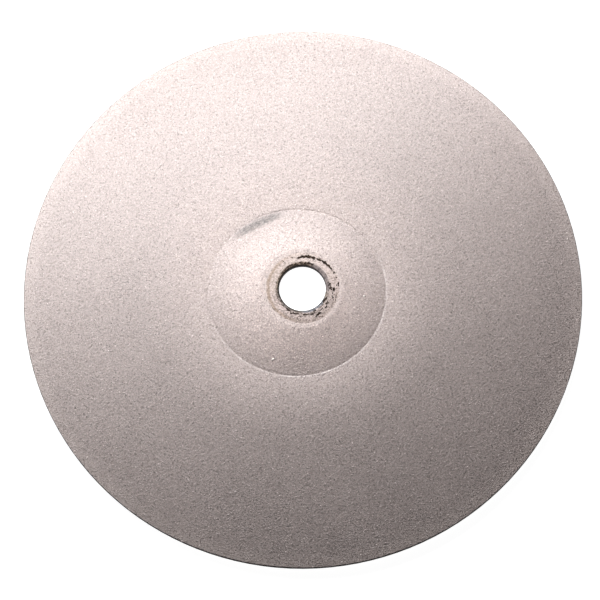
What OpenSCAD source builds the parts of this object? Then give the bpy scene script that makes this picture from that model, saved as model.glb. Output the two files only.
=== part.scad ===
// Electroplated diamond grinding wheel with a raised, pressed hub.
// The steel blank is pressed from one sheet: a flat flange, a shallow dip that
// runs in to a sharp die mark, then a shallow cone up to a flat seat round the
// arbor hole. The press is slightly off the hole's axis. Nickel plating holds
// the diamond grains on the front, wraps round the rim and covers the back.
// Frame: origin on the arbor hole's axis at the seat's back face, +Z towards
// the coated face.

/* [Wheel] */
// Outside diameter over the rim plating
wheel_d = 152.4; // [130:0.1:200]
// Thickness of the steel sheet
core_t = 1.5; // [1:0.1:2.5]

/* [Arbor hole] */
// Diameter of the arbor hole, a clearance hole for a 12.7 mm arbor
bore_d = 12.8; // [10:0.1:14]
// Width of the rolled edge round the hole, on the front
edge_w = 0.9; // [0.2:0.1:1.1]
// Depth of the rolled edge
edge_h = 0.4; // [0.2:0.1:0.6]

/* [Pressed hub] */
// Height of the seat above the flange
hub_h = 2.0; // [1:0.1:4]
// Radius of the die mark round the hub
crease_r = 23.6; // [20:0.1:30]
// Radius of the flat seat at the top of the hub
seat_r = 8.3; // [7.5:0.1:10]
// Width of the curve between the seat and the cone
shoulder_w = 4.7; // [2:0.1:8]
// Distance of the press axis from the hole's axis, along X
press_x = -1.6; // [-1.6:0.1:1.6]
// Distance of the press axis from the hole's axis, along Y
press_y = -0.3; // [-0.4:0.1:0.4]

/* [Dip round the hub] */
// Radius at which the flange starts to dip
dip_r = 39; // [36:0.5:50]
// Depth of the dip at the die mark
dip_h = 0.55; // [0.2:0.05:1]
// Height of the small step that the die leaves
step_h = 0.12; // [0.05:0.01:0.3]
// Width of that step
step_w = 0.5; // [0.3:0.1:1]

/* [Plating] */
// Thickness of the nickel bond on the front
bond_t = 0.15; // [0.1:0.01:0.4]
// Height that the grains stand proud of the bond
grit_h = 0.12; // [0.05:0.01:0.3]
// Thickness of the nickel round the rim
rim_t = 0.15; // [0.05:0.01:0.4]
// Thickness of the nickel on the back
back_t = 0.05; // [0.03:0.01:0.2]
// Radius of the ring round the hole that is masked from the plating
mask_r = 10; // [9.5:0.1:12]
// Distance that the grains keep from the plating's inner and outer edges
grit_inset = 0.2; // [0.1:0.05:0.5]

/* [Hidden] */
$fn = 180;

wheel_r = wheel_d / 2;
core_r = wheel_r - rim_t;
bore_r = bore_d / 2;

// Slope of the hub's cone, from its height, the dip and the step
cone_run = crease_r - seat_r - shoulder_w / 2;
cone_s = (hub_h + dip_h + step_h) / cone_run;
far_r = wheel_r + max(abs(press_x), abs(press_y)) * 1.5 + 1;

// Height of the sheet above the flange at a radius from the press axis
function sheet_z(r) =
    r <= seat_r ? hub_h
    : r <= seat_r + shoulder_w ? hub_h - cone_s * pow(r - seat_r, 2) / (2 * shoulder_w)
    : r <= crease_r ? hub_h - cone_s * (r - seat_r - shoulder_w / 2)
    : r <= crease_r + step_w ? -dip_h - step_h * (1 - (r - crease_r) / step_w)
    : r <= dip_r ? -dip_h * pow((dip_r - r) / (dip_r - crease_r - step_w), 2)
    : 0;

// Radii at which the sheet's section has a point
function steps(from, to, n) = [for (i = [0 : n - 1]) from + (to - from) * i / n];
section_r = concat(
    [0],
    steps(seat_r, seat_r + shoulder_w, 7),
    [seat_r + shoulder_w, crease_r],
    steps(crease_r + step_w, dip_r, 12),
    [dip_r, far_r]
);
last = len(section_r) - 1;

// A layer of the sheet, between two heights above its back face
module sheet_layer(lo, hi) {
    translate([press_x, press_y, -hub_h])
        rotate_extrude()
            polygon(concat(
                [for (i = [0 : last]) [section_r[i], sheet_z(section_r[i]) + lo]],
                [for (i = [last : -1 : 0]) [section_r[i], sheet_z(section_r[i]) + hi]]
            ));
}

// A round blank on the hole's axis, tall enough for every layer
module blank(r) {
    translate([0, 0, -hub_h - 5])
        cylinder(r = r, h = hub_h + core_t + 10);
}

// The arbor hole with its rolled edge, which opens out past the front face
module hole() {
    rise = 1;
    rotate_extrude()
        polygon([
            [0, -5], [bore_r, -5], [bore_r, core_t - edge_h],
            [bore_r + edge_w * (1 + rise / edge_h), core_t + rise], [0, core_t + rise]
        ]);
}

module steel_core() {
    color([0.55, 0.53, 0.52])
        difference() {
            intersection() {
                sheet_layer(0, core_t);
                blank(core_r);
            }
            hole();
        }
}

module nickel_bond() {
    color([0.66, 0.63, 0.61])
        difference() {
            intersection() {
                sheet_layer(core_t, core_t + bond_t);
                blank(core_r);
            }
            blank(mask_r);
        }
}

module diamond_grit() {
    color([0.72, 0.69, 0.67])
        difference() {
            intersection() {
                sheet_layer(core_t + bond_t, core_t + bond_t + grit_h);
                blank(wheel_r - grit_inset);
            }
            blank(mask_r + grit_inset);
        }
}

module rim_plating() {
    lo = -hub_h - back_t;
    hi = -hub_h + core_t + bond_t;
    b = rim_t * 0.6;
    color([0.45, 0.43, 0.42])
        rotate_extrude()
            polygon([
                [core_r, lo], [wheel_r - b, lo], [wheel_r - b * 0.3, lo + b * 0.3],
                [wheel_r, lo + b], [wheel_r, hi - b], [wheel_r - b * 0.3, hi - b * 0.3],
                [wheel_r - b, hi], [core_r, hi]
            ]);
}

module back_plating() {
    color([0.6, 0.58, 0.57])
        difference() {
            intersection() {
                sheet_layer(-back_t, 0);
                blank(core_r);
            }
            blank(mask_r);
        }
}

steel_core();
nickel_bond();
diamond_grit();
rim_plating();
back_plating();
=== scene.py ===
import math

import bpy
import numpy as np
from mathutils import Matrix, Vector


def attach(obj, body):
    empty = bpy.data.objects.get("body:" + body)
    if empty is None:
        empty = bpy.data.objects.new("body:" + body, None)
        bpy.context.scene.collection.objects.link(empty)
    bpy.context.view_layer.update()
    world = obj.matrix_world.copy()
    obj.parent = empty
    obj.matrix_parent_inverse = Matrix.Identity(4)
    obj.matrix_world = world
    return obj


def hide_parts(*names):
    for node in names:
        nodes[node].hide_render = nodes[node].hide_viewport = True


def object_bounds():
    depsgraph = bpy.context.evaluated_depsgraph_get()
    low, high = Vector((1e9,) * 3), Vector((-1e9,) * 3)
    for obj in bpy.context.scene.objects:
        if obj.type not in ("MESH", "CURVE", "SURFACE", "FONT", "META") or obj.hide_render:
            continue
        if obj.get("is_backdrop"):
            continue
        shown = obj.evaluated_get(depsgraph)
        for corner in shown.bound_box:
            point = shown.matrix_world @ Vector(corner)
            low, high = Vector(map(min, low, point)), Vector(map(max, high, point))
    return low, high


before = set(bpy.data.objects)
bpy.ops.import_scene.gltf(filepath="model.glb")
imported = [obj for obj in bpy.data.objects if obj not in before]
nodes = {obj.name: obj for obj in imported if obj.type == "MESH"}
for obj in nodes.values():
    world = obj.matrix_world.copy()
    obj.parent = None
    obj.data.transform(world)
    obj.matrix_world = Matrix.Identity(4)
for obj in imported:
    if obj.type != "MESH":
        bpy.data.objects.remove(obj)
cad_lo, cad_hi = (list(v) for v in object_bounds())
MM = 0.001

# ---------------------------------------------------------------- the pressed sheet, as in the CAD, mm
HUB_H, SEAT_R, SHOULDER = 2.0, 8.3, 4.7
CREASE_R, STEP_W, STEP_H = 23.6, 0.5, 0.12
DIP_R, DIP_H = 39.0, 0.55
CORE_T, BOND_T, GRIT_H = 1.5, 0.15, 0.12
MASK_R, BORE_R, EDGE_W, EDGE_H = 10.0, 6.4, 0.9, 0.4
WHEEL_R = 76.2
CORE_R = WHEEL_R - 0.15
PRESS = np.array([-1.6, -0.3])
SLOPE = (HUB_H + DIP_H + STEP_H) / (CREASE_R - SEAT_R - SHOULDER / 2)


def smooth(x, a, b):
    t = np.clip((x - a) / (b - a), 0, 1)
    return t * t * (3 - 2 * t)


def turn(a, b):
    """Signed angle from b to a, in degrees, between -180 and 180."""
    return (a - b + 180) % 360 - 180


def sheet_z(r):
    """Height of the sheet's back face in the row frame at a radius from the press axis."""
    z = np.select(
        [r <= SEAT_R, r <= SEAT_R + SHOULDER, r <= CREASE_R, r <= CREASE_R + STEP_W, r <= DIP_R],
        [
            HUB_H + 0 * r,
            HUB_H - SLOPE * (r - SEAT_R) ** 2 / (2 * SHOULDER),
            HUB_H - SLOPE * (r - SEAT_R - SHOULDER / 2),
            -DIP_H - STEP_H * (1 - (r - CREASE_R) / STEP_W),
            -DIP_H * ((DIP_R - r) / (DIP_R - CREASE_R - STEP_W)) ** 2,
        ],
        0.0,
    )
    return z - HUB_H


def waves(angle, seed, low, high):
    """A smooth periodic wander of about -1 to 1 round a circle."""
    rng = np.random.default_rng(seed)
    out = np.zeros_like(angle, float)
    for k in range(low, high + 1):
        out += rng.normal() * np.cos(np.radians(angle) * k + rng.uniform(0, 6.283)) / math.sqrt(high - low + 1)
    return out


def die_xy(x, y):
    """Place relative to the press axis. The die mark is slightly oval, up to 0.7 mm wider to the left and right."""
    px, py = x - PRESS[0], y - PRESS[1]
    r = np.maximum(np.hypot(px, py), 1e-9)
    wide = 0.7 * (px / r) ** 2 * smooth(r, 13, 22) * (1 - smooth(r, 27, 39))
    return px * (1 - wide / r), py * (1 - wide / r)


def relief(px, py):
    """What the press and handling left on the coated face beyond the round section, mm."""
    r, a = np.hypot(px, py), np.degrees(np.arctan2(py, px))
    # the die mark is sharper than the round section, most of all along the lower side
    rise = 0.072 + 0.05 * (1 - smooth(np.abs(turn(a, 68)), 45, 75)) - 0.03 * (1 - smooth(np.abs(turn(a, 175)), 25, 60))
    made = -rise * (1 - smooth(r, CREASE_R + 0.08, CREASE_R + 0.42))
    drawn = -STEP_H * (1 - (r - CREASE_R) / STEP_W)
    dz = np.where(r <= CREASE_R, (STEP_H - rise) * smooth(r, 20.6, 23.5), np.where(r <= CREASE_R + STEP_W, made - drawn, 0.0))
    # a fold inside the die mark, upper left: a trough and the lip outside it
    along = np.exp(-(np.abs(turn(a, 116)) / 20.0) ** 2.8)
    inner = 20.8 + 1.1 * np.clip(turn(a, 118) / 18, 0, 2) ** 2 + 0.5 * np.clip(turn(a, 112) / -16, 0, 2) ** 2
    crown, foot = 23.35, 24.1
    lip = np.clip((r - inner) / (crown - inner), 0, 1) ** 1.6 * (1 - smooth(r, crown, foot))
    high = 0.07 + 0.08 * np.exp(-(turn(a, 127) / 9) ** 2)
    dz = dz + along * (high * lip - 0.13 * np.exp(-((r - inner - 0.1) / 1.0) ** 2))
    # and ripples along it
    dz = dz + np.exp(-(turn(a, 112) / 26) ** 2) * np.exp(-((r - 22.2) / 1.3) ** 2) * 0.035 * np.sin(np.radians(a) * 46 + 1.2 * r)
    # a smaller buckle at the right
    dz = dz + 0.07 * np.exp(-(turn(a, 1) / 8) ** 2) * np.exp(-((r - 24.9) / 0.8) ** 2)
    # the sheet isn't quite even
    dz = dz + 0.02 * np.sin(px / 9 + 1) * np.cos(py / 11) * smooth(r, 12, 20)
    return dz


def face_z(x, y):
    px, py = die_xy(x, y)
    return sheet_z(np.hypot(px, py)) + CORE_T + BOND_T + relief(px, py)


def coat_z(x, y):
    """The face where the grains sit: the coat thins out toward the masked ring."""
    return face_z(x, y) - 0.14 * (1 - smooth(np.hypot(x, y), MASK_R - 0.3, MASK_R + 1.5))


def inner_edge(angle):
    """Radius at which the coating starts, round the hole: the masked ring, with pieces flaked off."""
    flaked = smooth(turn(angle, 45), -62, -40) * (1 - smooth(turn(angle, 45), 50, 66))
    w = waves(angle, 3, 5, 40)
    return MASK_R - 0.02 + 0.05 * waves(angle, 8, 2, 9) + flaked * 0.22 * np.clip(w + 0.1, 0, 1.2) + 0.06 * np.clip(waves(angle, 5, 20, 60), 0, 1)


# ---------------------------------------------------------------- materials
def material(name):
    m = bpy.data.materials.new(name)
    m.use_nodes = True
    nt = m.node_tree
    nt.nodes.clear()
    out = nt.nodes.new("ShaderNodeOutputMaterial")
    p = nt.nodes.new("ShaderNodeBsdfPrincipled")
    nt.links.new(p.outputs[0], out.inputs["Surface"])
    return m, nt, p


def node(nt, kind, inputs=(), **settings):
    n = nt.nodes.new("ShaderNode" + kind)
    for k, v in settings.items():
        setattr(n, k, v)
    for key, v in dict(inputs).items():
        if hasattr(v, "links"):
            nt.links.new(v, n.inputs[key])
        else:
            n.inputs[key].default_value = v
    return n


def noise(nt, at, scale, detail=3.0, rough=0.55, lacunarity=2.0):
    return node(nt, "TexNoise", {"Vector": at, "Scale": scale, "Detail": detail, "Roughness": rough, "Lacunarity": lacunarity}).outputs["Fac"]


def math_(nt, op, a, b=0.0, c=0.0, clamp=False):
    return node(nt, "Math", {0: a, 1: b, 2: c}, operation=op, use_clamp=clamp).outputs[0]


def span(nt, v, lo, hi, to_lo=0.0, to_hi=1.0, how="SMOOTHSTEP"):
    return node(nt, "MapRange", {"Value": v, "From Min": lo, "From Max": hi, "To Min": to_lo, "To Max": to_hi}, interpolation_type=how).outputs[0]


def mix(nt, fac, a, b, how="MIX"):
    n = node(nt, "Mix", data_type="RGBA", blend_type=how)
    for i, v in ((0, fac), (6, a), (7, b)):
        if hasattr(v, "links"):
            nt.links.new(v, n.inputs[i])
        else:
            n.inputs[i].default_value = v if i == 0 else (*v, 1.0)[:4]
    return n.outputs[2]


def rgb(r, g, b):
    return (r, g, b, 1.0)


def place(nt):
    """Object coordinates in mm, the distance from the hole's axis, and the distance from the press axis corrected for the oval mark."""
    at = node(nt, "TexCoord").outputs["Object"]
    mm = node(nt, "VectorMath", {0: at, 1: (1000, 1000, 1000)}, operation="MULTIPLY").outputs[0]
    flat = node(nt, "VectorMath", {0: mm, 1: (1, 1, 0)}, operation="MULTIPLY").outputs[0]
    r = node(nt, "VectorMath", {0: flat}, operation="LENGTH").outputs["Value"]
    off = node(nt, "VectorMath", {0: flat, 1: (float(PRESS[0]), float(PRESS[1]), 0)}, operation="SUBTRACT").outputs[0]
    rp = node(nt, "VectorMath", {0: off}, operation="LENGTH").outputs["Value"]
    # follow the oval die mark, as die_xy does
    cos = math_(nt, "DIVIDE", node(nt, "SeparateXYZ", {0: off}).outputs[0], rp)
    near = math_(nt, "MULTIPLY", span(nt, rp, 13.0, 22.0), span(nt, rp, 27.0, 39.0, 1.0, 0.0))
    wide = math_(nt, "MULTIPLY", math_(nt, "MULTIPLY", math_(nt, "MULTIPLY", cos, cos), near), 0.7)
    return mm, flat, r, math_(nt, "SUBTRACT", rp, wide)


def bump(nt, p, height, strength, distance):
    n = node(nt, "Bump", {"Height": height, "Strength": strength, "Distance": distance})
    nt.links.new(n.outputs[0], p.inputs["Normal"])
    return n


COAT_LO, COAT_HI = (0.150, 0.1235, 0.1165), (0.420, 0.3465, 0.327)
# painted light: how much brighter the coat is painted toward the hub, out to about 43 mm, by distance from the press
# axis in mm; it stands in for shading that the modelled shape and lamp don't give
PAINTED_HUB_LIGHT = ((9, 1.60), (12, 1.59), (16, 1.52), (20, 1.35), (23.2, 1.22), (24.0, 1.27), (25.2, 1.31), (27, 1.28), (30, 1.19), (37, 1.09), (43, 1.0))


def ramp(nt, v, stops, top):
    """A curve through (distance, value) stops, values up to `top`."""
    n = node(nt, "ValToRGB")
    reach = stops[-1][0]
    e = n.color_ramp.elements
    while len(e) < len(stops):
        e.new(0.5)
    for k, (at, val) in enumerate(stops):
        e[k].position = at / reach
        e[k].color = (val / top, val / top, val / top, 1.0)
    nt.links.new(math_(nt, "DIVIDE", v, float(reach), clamp=True), n.inputs[0])
    return math_(nt, "MULTIPLY", n.outputs[0], float(top))


def coat_colour(nt, mm, flat, r, rp, tone, lo=COAT_LO, hi=COAT_HI):
    """Warm grey of the coated face with faint clouds, painted light that makes it brighter toward the hub and on the
    hub's lower side, and painted shade in the fold.
    """
    c = mix(nt, tone, lo, hi)
    cloud = span(nt, noise(nt, mm, 0.035, 2.0), 0.3, 0.7, 0.965, 1.035, "LINEAR")
    sx = node(nt, "SeparateXYZ", {0: flat})
    ang = math_(nt, "ARCTAN2", math_(nt, "SUBTRACT", sx.outputs[1], float(PRESS[1])), math_(nt, "SUBTRACT", sx.outputs[0], float(PRESS[0])))
    # painted light: the hub's lower side, turned from the lamp, is painted a little paler than its upper side, to
    # soften its shading
    hub = math_(nt, "MULTIPLY", span(nt, rp, 9.0, 15.0), span(nt, rp, 22.4, 23.6, 1.0, 0.0))
    painted_side_light = math_(nt, "MULTIPLY", math_(nt, "COSINE", math_(nt, "SUBTRACT", ang, math.radians(268))), 0.085)
    # from here on the clouds carry this painted light too
    cloud = math_(nt, "MULTIPLY", cloud, math_(nt, "ADD", math_(nt, "MULTIPLY", hub, painted_side_light), 1.0))
    # the painted hub light times the clouds
    clouds_and_painted_light = math_(nt, "MULTIPLY", ramp(nt, rp, PAINTED_HUB_LIGHT, 1.6), cloud)
    grey = node(nt, "CombineColor", {0: clouds_and_painted_light, 1: clouds_and_painted_light, 2: clouds_and_painted_light}).outputs[0]
    c = mix(nt, 1.0, c, grey, "MULTIPLY")
    # a paler margin where the coat runs out to the edge
    margin = math_(nt, "MULTIPLY", span(nt, r, 71.5, 74.5), 0.10)
    c = mix(nt, margin, c, (0.62, 0.52, 0.49))
    # painted shade in the fold: a dark streaked band along the arc, deepening the shade of the fold's trough
    off = math_(nt, "SUBTRACT", ang, math.radians(116))
    along = span(nt, math_(nt, "ABSOLUTE", off), math.radians(9), math.radians(25), 1.0, 0.0)
    wobble = math_(nt, "MULTIPLY", math_(nt, "SUBTRACT", noise(nt, mm, 0.6, 4.0, 0.65), 0.5), 2.2)
    bend = math_(nt, "MULTIPLY", math_(nt, "MULTIPLY", off, off), 8.0)
    middle = math_(nt, "ADD", bend, 22.15)
    across = math_(nt, "ABSOLUTE", math_(nt, "SUBTRACT", math_(nt, "ADD", rp, wobble), middle))
    fold_painted_shade = math_(nt, "MULTIPLY", along, span(nt, across, 0.4, 1.9, 1.0, 0.0))
    streak = span(nt, noise(nt, node(nt, "CombineXYZ", {0: math_(nt, "MULTIPLY", ang, 30.0), 1: math_(nt, "MULTIPLY", rp, 3.0), 2: 0.0}).outputs[0], 1.0, 3.0), 0.35, 0.65, 0.5, 1.0)
    return mix(nt, math_(nt, "MULTIPLY", math_(nt, "MULTIPLY", fold_painted_shade, streak), 0.96), c, (0.066, 0.052, 0.048))


def grit_material():
    m, nt, p = material("diamond_grit")
    mm, flat, r, rp = place(nt)
    tone = node(nt, "Attribute", attribute_name="tone").outputs["Fac"]
    c = coat_colour(nt, mm, flat, r, rp, tone)
    nt.links.new(c, p.inputs["Base Color"])
    nt.links.new(span(nt, tone, 0, 1, 0.62, 0.46, "LINEAR"), p.inputs["Roughness"])
    p.inputs["IOR"].default_value = 1.8
    p.inputs["Metallic"].default_value = 0.0
    return m


def bond_material():
    m, nt, p = material("nickel_bond")
    mm, flat, r, rp = place(nt)
    fine = noise(nt, mm, 2.6, 2.0, 0.6)
    tone = span(nt, fine, 0.3, 0.7, 0.0, 1.0, "LINEAR")
    c = coat_colour(nt, mm, flat, r, rp, tone, (0.19, 0.157, 0.148), (0.34, 0.281, 0.265))
    # rust creeps on to the coating's edge at the masked ring
    edge = span(nt, math_(nt, "ADD", r, span(nt, noise(nt, mm, 0.9, 4.0), 0.2, 0.8, -0.5, 0.5, "LINEAR")), 9.9, 10.6, 1.0, 0.0)
    c = mix(nt, math_(nt, "MULTIPLY", edge, 0.14), c, (0.34, 0.275, 0.23))
    # the die mark is rubbed bright where the step stands up, only on the lower side where the step faces the lamp:
    # worn nickel with a painted highlight
    mark = span(nt, math_(nt, "ABSOLUTE", math_(nt, "SUBTRACT", rp, CREASE_R + 0.35)), 0.12, 0.42, 1.0, 0.0)
    broken = span(nt, noise(nt, mm, 0.35, 3.0), 0.35, 0.6)
    sx = node(nt, "SeparateXYZ", {0: flat})
    ang = math_(nt, "ARCTAN2", sx.outputs[1], sx.outputs[0])
    lower = span(nt, math_(nt, "COSINE", math_(nt, "SUBTRACT", ang, math.radians(-65))), math.cos(math.radians(108)), math.cos(math.radians(80)))
    rub_and_painted_highlight = math_(nt, "MULTIPLY", math_(nt, "MULTIPLY", mark, broken), lower)
    c = mix(nt, math_(nt, "MULTIPLY", rub_and_painted_highlight, 0.25), c, (0.50, 0.44, 0.43))
    nt.links.new(c, p.inputs["Base Color"])
    nt.links.new(span(nt, rub_and_painted_highlight, 0, 1, 0.58, 0.36, "LINEAR"), p.inputs["Roughness"])
    p.inputs["Metallic"].default_value = 0.0
    p.inputs["IOR"].default_value = 1.8
    bump(nt, p, noise(nt, mm, 3.2, 3.0, 0.65), 0.55, 0.00012)
    return m


def core_material():
    """Bare sheet steel: the masked ring, the rolled edge and the hole's wall."""
    m, nt, p = material("core_steel")
    mm, flat, r, rp = place(nt)
    sx = node(nt, "SeparateXYZ", {0: flat})
    ang = math_(nt, "ARCTAN2", sx.outputs[1], sx.outputs[0])

    def facing(degrees, wide, narrow):
        """1 round an azimuth, falling to 0 between `narrow` and `wide` degrees from it."""
        c = math_(nt, "COSINE", math_(nt, "SUBTRACT", ang, math.radians(degrees)))
        return span(nt, c, math.cos(math.radians(wide)), math.cos(math.radians(narrow)))

    def ragged(scale, size):
        return span(nt, noise(nt, mm, scale, 4.0, 0.65), 0.2, 0.8, -size, size, "LINEAR")

    cells = node(nt, "TexVoronoi", {"Vector": mm, "Scale": 3.1, "Randomness": 1.0}).outputs["Color"]
    grain = node(nt, "SeparateColor", {0: cells}).outputs[0]
    steel = mix(nt, span(nt, grain, 0.05, 0.95, 0.0, 1.0, "LINEAR"), (0.190, 0.156, 0.145), (0.520, 0.429, 0.402))
    # a cream bloom, stronger at the left and the top: partly a stain, partly painted light on the side toward the lamp
    bloom_and_painted_light = math_(nt, "MULTIPLY", facing(130, 95, 25), span(nt, noise(nt, mm, 0.7, 3.0), 0.3, 0.7, 0.15, 0.5))
    steel = mix(nt, bloom_and_painted_light, steel, mix(nt, facing(180, 70, 20), (0.46, 0.385, 0.345), (0.37, 0.305, 0.262)))
    # and paler at the right
    steel = mix(nt, math_(nt, "MULTIPLY", facing(10, 60, 20), 0.35), steel, (0.50, 0.415, 0.385))
    # painted shade: duller at the lower right, the side turned from the lamp
    steel = mix(nt, math_(nt, "MULTIPLY", facing(-60, 60, 30), 0.15), steel, (0.24, 0.20, 0.183))
    # faint brown tide line near the ring's outer edge, at the left
    tide = span(nt, math_(nt, "ABSOLUTE", math_(nt, "SUBTRACT", math_(nt, "ADD", r, ragged(0.8, 0.3)), 9.35)), 0.1, 0.55, 1.0, 0.0)
    tide = math_(nt, "MULTIPLY", tide, math_(nt, "ADD", math_(nt, "MULTIPLY", facing(185, 90, 30), 0.50), 0.08))
    steel = mix(nt, tide, steel, (0.20, 0.135, 0.085))
    # brown freckles, many at the right and below, few elsewhere
    few = math_(nt, "ADD", math_(nt, "MULTIPLY", facing(-20, 95, 15), 0.060), math_(nt, "MULTIPLY", facing(255, 70, 30), 0.03))
    freckle = span(nt, math_(nt, "ADD", noise(nt, mm, 2.0, 3.0, 0.7), few), 0.62, 0.68)
    steel = mix(nt, math_(nt, "MULTIPLY", freckle, 0.8), steel, (0.07, 0.042, 0.028))
    # the rolled edge: brown scale at the top, grey at the right, bare grey-blue below right, mottled below
    patch = noise(nt, mm, 1.7, 4.0, 0.7)
    brown = mix(nt, span(nt, patch, 0.44, 0.60), (0.032, 0.019, 0.013), (0.27, 0.205, 0.165))
    grey = mix(nt, span(nt, patch, 0.35, 0.65), (0.085, 0.068, 0.068), (0.25, 0.208, 0.20))
    bare = mix(nt, span(nt, patch, 0.40, 0.62), (0.035, 0.035, 0.042), (0.175, 0.177, 0.20))
    left = mix(nt, span(nt, patch, 0.35, 0.6), (0.11, 0.078, 0.058), (0.33, 0.27, 0.215))
    low = mix(nt, span(nt, patch, 0.42, 0.62), (0.05, 0.034, 0.027), (0.25, 0.215, 0.20))
    lip = mix(nt, facing(100, 48, 32), left, brown)
    lip = mix(nt, facing(25, 50, 30), lip, grey)
    lip = mix(nt, facing(-110, 80, 45), lip, low)
    lip = mix(nt, facing(-58, 42, 20), lip, bare)
    reach = math_(nt, "ADD", math_(nt, "MULTIPLY", facing(60, 95, 45), 0.42), 7.12)
    edge = math_(nt, "SUBTRACT", math_(nt, "ADD", r, ragged(1.6, 0.28)), reach)
    c = mix(nt, span(nt, edge, 0.12, -0.12), steel, lip)
    # a broken dark line where the edge starts to roll, below
    line = span(nt, math_(nt, "ABSOLUTE", math_(nt, "SUBTRACT", math_(nt, "ADD", r, ragged(1.2, 0.16)), 7.32)), 0.05, 0.22, 1.0, 0.0)
    line = math_(nt, "MULTIPLY", line, math_(nt, "MULTIPLY", facing(-105, 105, 70), span(nt, noise(nt, mm, 0.9, 3.0), 0.42, 0.55)))
    c = mix(nt, math_(nt, "MULTIPLY", line, 0.8), c, (0.045, 0.030, 0.022))
    # painted shade of the hole's wall: near black at the very edge of the hole and down its wall, widest at the left
    width = math_(nt, "ADD", math_(nt, "MULTIPLY", math_(nt, "COSINE", math_(nt, "SUBTRACT", ang, math.radians(165))), 0.16), 6.68)
    wall = span(nt, math_(nt, "SUBTRACT", math_(nt, "ADD", r, ragged(2.2, 0.07)), width), 0.06, -0.10)
    c = mix(nt, math_(nt, "MULTIPLY", wall, 0.96), c, (0.010, 0.007, 0.006))
    nt.links.new(c, p.inputs["Base Color"])
    nt.links.new(span(nt, wall, 0, 1, 0.52, 0.7, "LINEAR"), p.inputs["Roughness"])
    p.inputs["Metallic"].default_value = 0.0
    p.inputs["IOR"].default_value = 1.5
    p.inputs["Specular IOR Level"].default_value = 0.2
    bump(nt, p, noise(nt, mm, 2.6, 4.0, 0.65), 0.6, 0.00012)
    return m


def rust_material():
    m, nt, p = material("rust_scale")
    mm, flat, r, rp = place(nt)
    c = mix(nt, span(nt, noise(nt, mm, 2.2, 3.0), 0.35, 0.65), (0.005, 0.0032, 0.0025), (0.036, 0.022, 0.015))
    nt.links.new(c, p.inputs["Base Color"])
    p.inputs["Roughness"].default_value = 0.8
    p.inputs["Specular IOR Level"].default_value = 0.1
    bump(nt, p, noise(nt, mm, 6.0, 3.0), 0.6, 0.00005)
    return m


def rim_painted_shade_material():
    """The plating on the edge, dull, and painted near black as shade."""
    m, nt, p = material("rim_nickel")
    mm, flat, r, rp = place(nt)
    c = mix(nt, span(nt, noise(nt, mm, 0.8, 4.0, 0.65), 0.3, 0.7), (0.010, 0.008, 0.0075), (0.034, 0.027, 0.025))
    nt.links.new(c, p.inputs["Base Color"])
    p.inputs["Roughness"].default_value = 0.75
    p.inputs["Specular IOR Level"].default_value = 0.12
    bump(nt, p, noise(nt, mm, 2.5, 3.0), 0.5, 0.00008)
    return m


def nickel_material(name, lo, hi, rough, streak):
    m, nt, p = material(name)
    mm, flat, r, rp = place(nt)
    # rolling marks of the sheet under the plate run along X
    drawn = node(nt, "VectorMath", {0: mm, 1: (0.03, 1.0, 1.0)}, operation="MULTIPLY").outputs[0]
    lines = noise(nt, drawn, 0.9, 4.0, 0.6)
    cloud = noise(nt, mm, 0.05, 3.0, 0.6)
    c = mix(nt, span(nt, math_(nt, "ADD", math_(nt, "MULTIPLY", lines, streak), math_(nt, "MULTIPLY", cloud, 1 - streak)), 0.35, 0.65), lo, hi)
    # faint brown stains
    spots = span(nt, noise(nt, mm, 0.14, 5.0, 0.7), 0.62, 0.74)
    c = mix(nt, math_(nt, "MULTIPLY", spots, 0.35), c, (0.20, 0.14, 0.09))
    nt.links.new(c, p.inputs["Base Color"])
    nt.links.new(span(nt, cloud, 0.3, 0.7, rough - 0.06, rough + 0.08, "LINEAR"), p.inputs["Roughness"])
    p.inputs["Metallic"].default_value = 0.85
    bump(nt, p, math_(nt, "ADD", math_(nt, "MULTIPLY", lines, 0.5), math_(nt, "MULTIPLY", noise(nt, mm, 2.5, 3.0), 0.5)), 0.35, 0.00008)
    return m


GRIT = grit_material()
BOND = bond_material()
CORE = core_material()
RUST = rust_material()
BACK = nickel_material("back_nickel", (0.36, 0.335, 0.315), (0.50, 0.475, 0.45), 0.42, 0.55)
RIM_PAINTED_SHADE = rim_painted_shade_material()


NODULE = nickel_material("nodule_nickel", (0.66, 0.62, 0.60), (0.80, 0.77, 0.75), 0.34, 0.2)


def wear(o, mat):
    """Gives every slot of a CAD node this material."""
    if not o.material_slots:
        o.data.materials.append(mat)
    for s in o.material_slots:
        s.material = mat


wear(nodes["steel_core"], CORE)
wear(nodes["rim_plating"], RIM_PAINTED_SHADE)
wear(nodes["back_plating"], BACK)


# ---------------------------------------------------------------- meshes
def mesh_piece(name, verts, faces_flat, sizes, mat, smooth_faces=False, replaces=()):
    """A mesh object from arrays, in mm: verts (n, 3), corner indices in one run, corners per face."""
    me = bpy.data.meshes.new(name)
    sizes = np.asarray(sizes, np.int32)
    starts = np.concatenate([[0], np.cumsum(sizes)[:-1]]).astype(np.int32)
    me.vertices.add(len(verts))
    me.vertices.foreach_set("co", (np.asarray(verts, np.float64) * MM).astype(np.float32).ravel())
    me.loops.add(int(sizes.sum()))
    me.loops.foreach_set("vertex_index", np.asarray(faces_flat, np.int32))
    me.polygons.add(len(sizes))
    me.polygons.foreach_set("loop_start", starts)
    me.polygons.foreach_set("loop_total", sizes)
    me.polygons.foreach_set("use_smooth", np.full(len(sizes), smooth_faces))
    me.materials.append(mat)
    me.update(calc_edges=True)
    me.validate()
    o = bpy.data.objects.new(name, me)
    bpy.context.scene.collection.objects.link(o)
    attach(o, "root")
    if replaces:
        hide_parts(*replaces)
    return o


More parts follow.
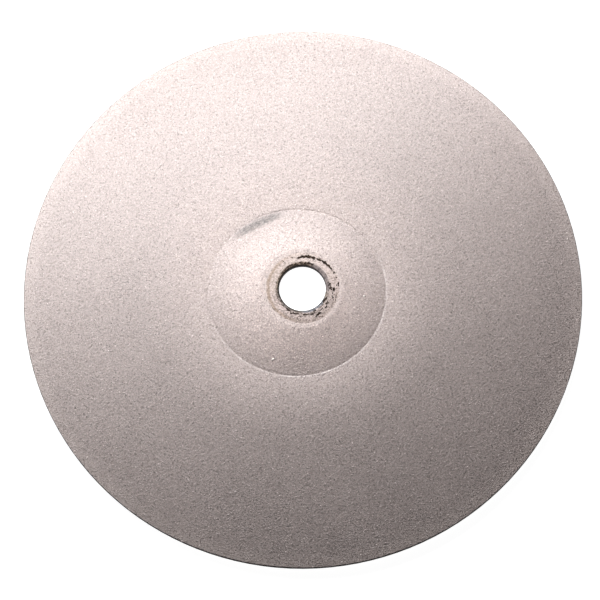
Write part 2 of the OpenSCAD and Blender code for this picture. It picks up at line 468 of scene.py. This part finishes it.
def plan_map(o, lo, hi):
    """A top-down map of the piece, filling the square."""
    me = o.data
    co = np.empty(len(me.vertices) * 3, np.float32)
    me.vertices.foreach_get("co", co)
    co = co.reshape(-1, 3)[:, :2] / MM
    vi = np.empty(len(me.loops), np.int32)
    me.loops.foreach_get("vertex_index", vi)
    uv = (co - np.asarray(lo)) / (np.asarray(hi) - np.asarray(lo)) * 0.98 + 0.01
    layer = me.uv_layers.new(name="OFBake")
    layer.uv.foreach_set("vector", uv[vi].astype(np.float32).ravel())


def ring_centre(r):
    k = (smooth(r, MASK_R + 0.2, 15) * (1 - smooth(r, 46, 72)))[..., None]
    return PRESS * k


def bond_face():
    """The nickel on the face as one closed skin. Its rings lie about the hole at its edges and about the press axis between them."""
    n = 720
    a = np.arange(n) * 360.0 / n
    edge = inner_edge(a)
    fine = [
        np.arange(10.0, 11.6, 0.14), np.arange(11.6, 20.0, 0.7), np.arange(20.0, 22.8, 0.28), np.arange(22.8, 25.5, 0.12),
        np.arange(25.5, 28, 0.4), np.arange(28, 40, 1.0), np.arange(40, 73, 4.5), [74.5, CORE_R],
    ]
    radii = np.concatenate(fine)
    top = []
    for i, r0 in enumerate(radii):
        r = r0 + (edge - MASK_R) * (1 - smooth(r0, MASK_R, 11.8))
        c = ring_centre(np.full(n, r0))
        x, y = c[:, 0] + r * np.cos(np.radians(a)), c[:, 1] + r * np.sin(np.radians(a))
        z = face_z(x, y)
        # the coat thins out toward the masked ring
        z = z - 0.14 * (1 - smooth(r0, MASK_R - 0.3, MASK_R + 1.5))
        if 0 < i < 5:
            z = z + (0.005, 0.008, 0.006, 0.004)[i - 1] * waves(a, 21 + i, 20, 110)
        top.append(np.stack([x, y, z], 1))
    low = []
    for r0 in (MASK_R, 12, 15, 19, CREASE_R, CREASE_R + STEP_W, 28, 32, 36, 42, 60, CORE_R):
        r = r0 + (edge - MASK_R) * (1 - smooth(np.full(n, r0), MASK_R, 11.8))
        c = ring_centre(np.full(n, r0))
        x, y = c[:, 0] + r * np.cos(np.radians(a)), c[:, 1] + r * np.sin(np.radians(a))
        low.append(np.stack([x, y, sheet_z(np.hypot(x - PRESS[0], y - PRESS[1])) + CORE_T - 0.004], 1))
    rings = top + low[::-1]
    verts = np.concatenate(rings)
    m = len(rings)
    i, j = np.meshgrid(np.arange(m), np.arange(n), indexing="ij")
    i2, j2 = (i + 1) % m, (j + 1) % n
    quads = np.stack([i * n + j, i2 * n + j, i2 * n + j2, i * n + j2], -1).reshape(-1, 4)
    o = mesh_piece("bond_face", verts, quads.ravel(), np.full(len(quads), 4), BOND, True, ("nickel_bond",))
    mark = o.data.attributes.new("sharp_edge", "BOOLEAN", "EDGE")
    e = np.empty(len(o.data.edges) * 2, np.int32)
    o.data.edges.foreach_get("vertices", e)
    ring_of = e.reshape(-1, 2) // n
    same = ring_of[:, 0] == ring_of[:, 1]
    sharp = same & np.isin(ring_of[:, 0], [0, len(top) - 1, len(top), m - 1])
    mark.data.foreach_set("value", sharp)
    plan_map(o, (-77, -77), (77, 77))
    return o


def grains():
    """Separate diamond grains, each a blunt three or four sided crystal sunk in the nickel, in sectors."""
    rng = np.random.default_rng(11)
    pitch = 0.42
    rows = int(2 * WHEEL_R / (pitch * 0.866)) + 2
    cols = int(2 * WHEEL_R / pitch) + 2
    gy, gx = np.meshgrid(np.arange(rows), np.arange(cols), indexing="ij")
    x = (gx + 0.5 * (gy % 2)) * pitch - WHEEL_R
    y = gy * pitch * 0.866 - WHEEL_R
    x = (x + rng.uniform(-0.42, 0.42, x.shape) * pitch).ravel()
    y = (y + rng.uniform(-0.42, 0.42, y.shape) * pitch).ravel()
    r, a = np.hypot(x, y), np.degrees(np.arctan2(y, x))
    keep = (r < CORE_R - 0.12) & (r > inner_edge(a) + 0.16) & (rng.uniform(size=len(x)) < 0.96)
    # the die mark's step is rubbed bare in places
    rp = np.hypot(*die_xy(x, y))
    lower = 1 - smooth(np.abs(turn(a, -65)), 80, 108)
    keep &= ~((np.abs(rp - CREASE_R - 0.4) < 0.20) & (rng.uniform(size=len(x)) < 0.6 * lower))
    x, y, a = x[keep], y[keep], a[keep]
    n = len(x)
    # the surface's tilt under each grain
    d = 0.05
    z = coat_z(x, y)
    sx, sy = (coat_z(x + d, y) - z) / d, (coat_z(x, y + d) - z) / d
    base = pitch * rng.uniform(0.36, 0.58, n)
    crown = base * rng.uniform(0.35, 0.75, n)
    height = GRIT_H * rng.uniform(0.45, 0.98, n)
    spin = rng.uniform(0, 2 * np.pi, n)
    lean = rng.normal(0, 0.09, (n, 2)) * base[:, None] / 0.2
    tilt = rng.normal(0, 0.30, (n, 2))
    tone = np.clip(rng.normal(0.47, 0.31, n), 0, 1)
    sector = ((a + 180) // 51.4286).astype(int) % 7
    out = []
    for s in range(7):
        verts, faces, sizes, tones, count = [], [], [], [], 0
        for sides, pick in ((3, (np.arange(n) % 5) < 2), (4, (np.arange(n) % 5) >= 2)):
            at = np.flatnonzero(pick & (sector == s))
            k = len(at)
            t = spin[at, None] + np.arange(sides) * 2 * np.pi / sides + rng.uniform(-0.25, 0.25, (k, sides))
            bx, by = np.cos(t) * base[at, None], np.sin(t) * base[at, None]
            cx = np.cos(t) * crown[at, None] + lean[at, :1]
            cy = np.sin(t) * crown[at, None] + lean[at, 1:]
            bz = np.full((k, sides), -0.05)
            cz = height[at, None] + cx * tilt[at, :1] + cy * tilt[at, 1:]
            cz = np.clip(cz, 0.015, GRIT_H)
            px, py, pz = np.concatenate([bx, cx], 1), np.concatenate([by, cy], 1), np.concatenate([bz, cz], 1)
            pz = pz + px * sx[at, None] + py * sy[at, None] + z[at, None]
            v = np.stack([px + x[at, None], py + y[at, None], pz], -1)
            at0 = count + np.arange(k)[:, None] * 2 * sides
            i = np.arange(sides)
            i2 = (i + 1) % sides
            walls = np.stack([i, i2, i2 + sides, i + sides], -1).ravel()
            faces.append(np.concatenate([at0 + walls, at0 + sides + i, at0 + i[::-1]], 1).ravel())
            sizes.append(np.tile(np.r_[np.full(sides, 4), sides, sides], k))
            verts.append(v.reshape(-1, 3))
            tones.append(np.repeat(tone[at], 2 * sides))
            count += k * 2 * sides
        verts = np.concatenate(verts)
        o = mesh_piece(f"grit_sector_{s + 1}", verts, np.concatenate(faces), np.concatenate(sizes), GRIT, False, ("diamond_grit",))
        tones = np.concatenate(tones).astype(np.float32)
        attr = o.data.attributes.new("tone", "FLOAT", "POINT")
        attr.data.foreach_set("value", tones)
        plan_map(o, verts.min(0)[:2], verts.max(0)[:2])
        out.append(o)
    return out


def scabs():
    """Rust scale and flaked edge bits on the masked ring: thin ragged flakes lying on the steel."""
    rng = np.random.default_rng(5)
    # arcs of the ring with flakes: angles, radii at both ends, how many, sizes
    arcs = (
        (94, 67, 8.85, 9.05, 26, 0.10, 0.30), (62, 38, 9.2, 9.5, 32, 0.09, 0.27), (38, 22, 9.52, 9.68, 13, 0.08, 0.20),
        (17, 14, 9.7, 9.7, 2, 0.10, 0.20), (7, 1, 9.75, 9.72, 5, 0.12, 0.26), (-3, -7, 8.5, 8.7, 3, 0.14, 0.24),
        (-1, -6, 7.6, 7.8, 3, 0.16, 0.26), (12, -24, 7.2, 8.9, 26, 0.06, 0.15), (-14, -26, 9.5, 9.8, 4, 0.08, 0.16),
        (-26, -38, 6.95, 7.1, 8, 0.14, 0.28), (-28, -44, 7.6, 8.5, 9, 0.10, 0.22), (-48, -56, 7.7, 8.1, 4, 0.10, 0.18),
        (-56, -68, 8.4, 8.7, 7, 0.12, 0.26), (-62, -72, 7.35, 7.9, 6, 0.12, 0.22), (-74, -100, 7.6, 7.9, 11, 0.07, 0.18),
        (-100, -116, 7.3, 7.7, 9, 0.09, 0.22), (-118, -128, 7.25, 7.4, 6, 0.10, 0.22), (-128, -146, 7.1, 7.7, 6, 0.07, 0.18),
        (108, 104, 9.1, 9.1, 2, 0.08, 0.16), (124, 120, 8.9, 9.0, 2, 0.06, 0.12), (-84, -112, 8.4, 9.2, 8, 0.04, 0.10),
        (118, 66, 7.0, 7.2, 16, 0.08, 0.20), (150, 215, 6.9, 7.1, 12, 0.05, 0.12), (-30, 30, 6.9, 7.2, 9, 0.06, 0.14),
    )
    spots = []  # angle, radius, size
    for a0, a1, r0, r1, count, s0, s1 in arcs:
        for k in (np.arange(count) + rng.uniform(0, 1, count)) / count:
            spots.append((a0 + (a1 - a0) * k, r0 + (r1 - r0) * k + rng.normal(0, 0.15), 1.3 * rng.uniform(s0, s1)))
    verts, faces, sizes = [], [], []
    for ang, r, size in spots:
        k = int(rng.integers(7, 12))
        t = np.arange(k) * 2 * np.pi / k + rng.uniform(-0.25, 0.25, k)
        rad = size * rng.uniform(0.5, 1.3, k)
        stretch = rng.uniform(1.0, 1.9)
        u, w = np.cos(t) * rad * stretch, np.sin(t) * rad  # along and across the ring
        ca, sa = math.cos(math.radians(ang)), math.sin(math.radians(ang))

        def at(uu, ww, lift):
            x, y = ca * (r + ww) - sa * uu, sa * (r + ww) + ca * uu
            z = sheet_z(np.hypot(x - PRESS[0], y - PRESS[1])) + CORE_T
            # over the rolled edge the surface falls away
            z = z - np.clip(BORE_R + EDGE_W - np.hypot(x, y), 0, EDGE_W) * EDGE_H / EDGE_W
            return np.stack([x, y, z + lift], 1)

        h = rng.uniform(0.02, 0.05)
        rings = [at(u, w, np.full(k, -0.02)), at(u * 0.92, w * 0.92, h * rng.uniform(0.5, 0.9, k)), at(u * 0.5, w * 0.5, h * rng.uniform(0.8, 1.3, k))]
        n0 = len(verts)
        verts.extend(np.concatenate(rings).tolist())
        for q in range(2):
            for i in range(k):
                j = (i + 1) % k
                faces += [n0 + q * k + i, n0 + q * k + j, n0 + (q + 1) * k + j, n0 + (q + 1) * k + i]
                sizes.append(4)
        faces += [n0 + 2 * k + i for i in range(k)]
        sizes.append(k)
        faces += [n0 + i for i in range(k)][::-1]
        sizes.append(k)
    return mesh_piece("rust_scale", np.array(verts), np.array(faces), sizes, RUST)


def nodules():
    """Two lumps of bare bright nickel that grew on the coat."""
    rng = np.random.default_rng(9)
    verts, faces, sizes = [], [], []
    for cx, cy, along, size, stretch in ((16.7, -2.7, 0.0, 0.24, 1.1), (-8.8, -19.3, 0.5, 0.24, 1.9), (-8.0, -19.0, 0.6, 0.15, 1.5)):
        k, n0 = 9, len(verts)
        t = np.arange(k) * 2 * np.pi / k
        for level, (wide, tall) in enumerate(((1.05, -0.10), (1.0, 0.08), (0.8, 0.20), (0.45, 0.27))):
            rad = size * wide * rng.uniform(0.85, 1.12, k)
            u, w = np.cos(t) * rad * stretch, np.sin(t) * rad
            x, y = cx + u * math.cos(along) - w * math.sin(along), cy + u * math.sin(along) + w * math.cos(along)
            verts.extend(np.stack([x, y, face_z(x, y) + tall * size / 0.24 * 0.8], 1).tolist())
        for q in range(3):
            for i in range(k):
                j = (i + 1) % k
                faces += [n0 + q * k + i, n0 + q * k + j, n0 + (q + 1) * k + j, n0 + (q + 1) * k + i]
                sizes.append(4)
        faces += [n0 + 3 * k + i for i in range(k)]
        sizes.append(k)
        faces += [n0 + i for i in range(k)][::-1]
        sizes.append(k)
    return mesh_piece("nickel_nodules", np.array(verts), np.array(faces), sizes, NODULE, True)


bond = bond_face()
grit = grains()
flakes = scabs()
lumps = nodules()

# ---------------------------------------------------------------- floor
FLOOR_Z = cad_lo[2]


def floor_material():
    m, nt, p = material("pale_floor")
    at = node(nt, "TexCoord").outputs["Object"]
    c = mix(nt, noise(nt, at, 3.0, 2.0), (0.34, 0.34, 0.34), (0.38, 0.38, 0.38))
    nt.links.new(c, p.inputs["Base Color"])
    p.inputs["Roughness"].default_value = 0.9
    p.inputs["Emission Color"].default_value = rgb(1.0, 1.0, 1.0)
    p.inputs["Emission Strength"].default_value = 0.965
    return m


bpy.ops.mesh.primitive_plane_add(size=8.0, location=(0, 0, FLOOR_Z))
floor = bpy.context.object
floor.name = "floor"
floor.data.materials.append(floor_material())
floor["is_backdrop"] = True


def backdrop():
    """A pale wall round the floor, for low views. Only the camera sees it, so it lights nothing."""
    n, radius, tall = 96, 3.9, 3.0
    ring = [(radius * math.cos(2 * math.pi * k / n), radius * math.sin(2 * math.pi * k / n)) for k in range(n)]
    me = bpy.data.meshes.new("backdrop")
    me.from_pydata([(x, y, FLOOR_Z + h) for h in (-0.01, tall) for x, y in ring], [], [(k, (k + 1) % n, n + (k + 1) % n, n + k) for k in range(n)])
    m, nt, p = material("pale_backdrop")
    at = node(nt, "TexCoord").outputs["Object"]
    nt.links.new(mix(nt, noise(nt, at, 1.0, 2.0), (0.02, 0.02, 0.02), (0.03, 0.03, 0.03)), p.inputs["Base Color"])
    p.inputs["Roughness"].default_value = 0.9
    p.inputs["Emission Color"].default_value = rgb(1.0, 1.0, 1.0)
    p.inputs["Emission Strength"].default_value = 0.965
    me.materials.append(m)
    o = bpy.data.objects.new("backdrop", me)
    bpy.context.scene.collection.objects.link(o)
    o.visible_diffuse = o.visible_glossy = o.visible_transmission = o.visible_shadow = False
    o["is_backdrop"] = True
    return o


wall = backdrop()

# ---------------------------------------------------------------- light
world = bpy.data.worlds.new("studio")
bpy.context.scene.world = world
world.use_nodes = True
wt = world.node_tree
wt.nodes.clear()
w_out = wt.nodes.new("ShaderNodeOutputWorld")
w_bg = wt.nodes.new("ShaderNodeBackground")
w_bg.inputs["Color"].default_value = rgb(1.0, 0.99, 0.98)
w_bg.inputs["Strength"].default_value = 0.05
wt.links.new(w_bg.outputs[0], w_out.inputs["Surface"])


def softbox(name, at, aim, size, power, colour=(1.0, 1.0, 1.0)):
    data = bpy.data.lights.new(name, "AREA")
    data.shape = "RECTANGLE"
    data.size, data.size_y = size
    data.energy = power
    data.color = colour
    o = bpy.data.objects.new(name, data)
    bpy.context.scene.collection.objects.link(o)
    o.location = at
    o.rotation_mode = "QUATERNION"
    o.rotation_quaternion = (Vector(aim) - Vector(at)).to_track_quat("-Z", "Y")
    return o


softbox("key", (-0.0301, 0.0827, 0.090), (0.0, 0.0, 0.0), (0.22, 0.05), 0.560)

# ---------------------------------------------------------------- camera
TILT, DIST, FOCAL_PX, ROLL = math.radians(16.311), 566.43, 2074.9, math.radians(-2.596)
FLANGE_Z = -HUB_H + CORE_T + BOND_T
eye = Vector((0.0, -math.sin(TILT) * DIST, math.cos(TILT) * DIST + FLANGE_Z)) * MM
aim = Vector((-0.781, -2.877, FLANGE_Z)) * MM
cam_data = bpy.data.cameras.new("camera")
cam = bpy.data.objects.new("camera", cam_data)
bpy.context.scene.collection.objects.link(cam)
bpy.context.scene.camera = cam
forward = (aim - eye).normalized()
right = forward.cross(Vector((0, 0, 1))).normalized()
up = right.cross(forward)
right, up = math.cos(ROLL) * right + math.sin(ROLL) * up, -math.sin(ROLL) * right + math.cos(ROLL) * up
cam.location = eye
basis = Vector(right), Vector(up), -forward
from mathutils import Matrix

cam.rotation_mode = "QUATERNION"
cam.rotation_quaternion = Matrix(((basis[0].x, basis[1].x, basis[2].x), (basis[0].y, basis[1].y, basis[2].y), (basis[0].z, basis[1].z, basis[2].z))).to_quaternion()
cam_data.sensor_width = 36.0
cam_data.lens = FOCAL_PX / 600.0 * 36.0
cam_data.clip_start, cam_data.clip_end = 0.01, 20.0

view = bpy.context.scene.view_settings
view.view_transform = "Standard"
view.look = "None"
view.exposure = 0.0
view.gamma = 1.0
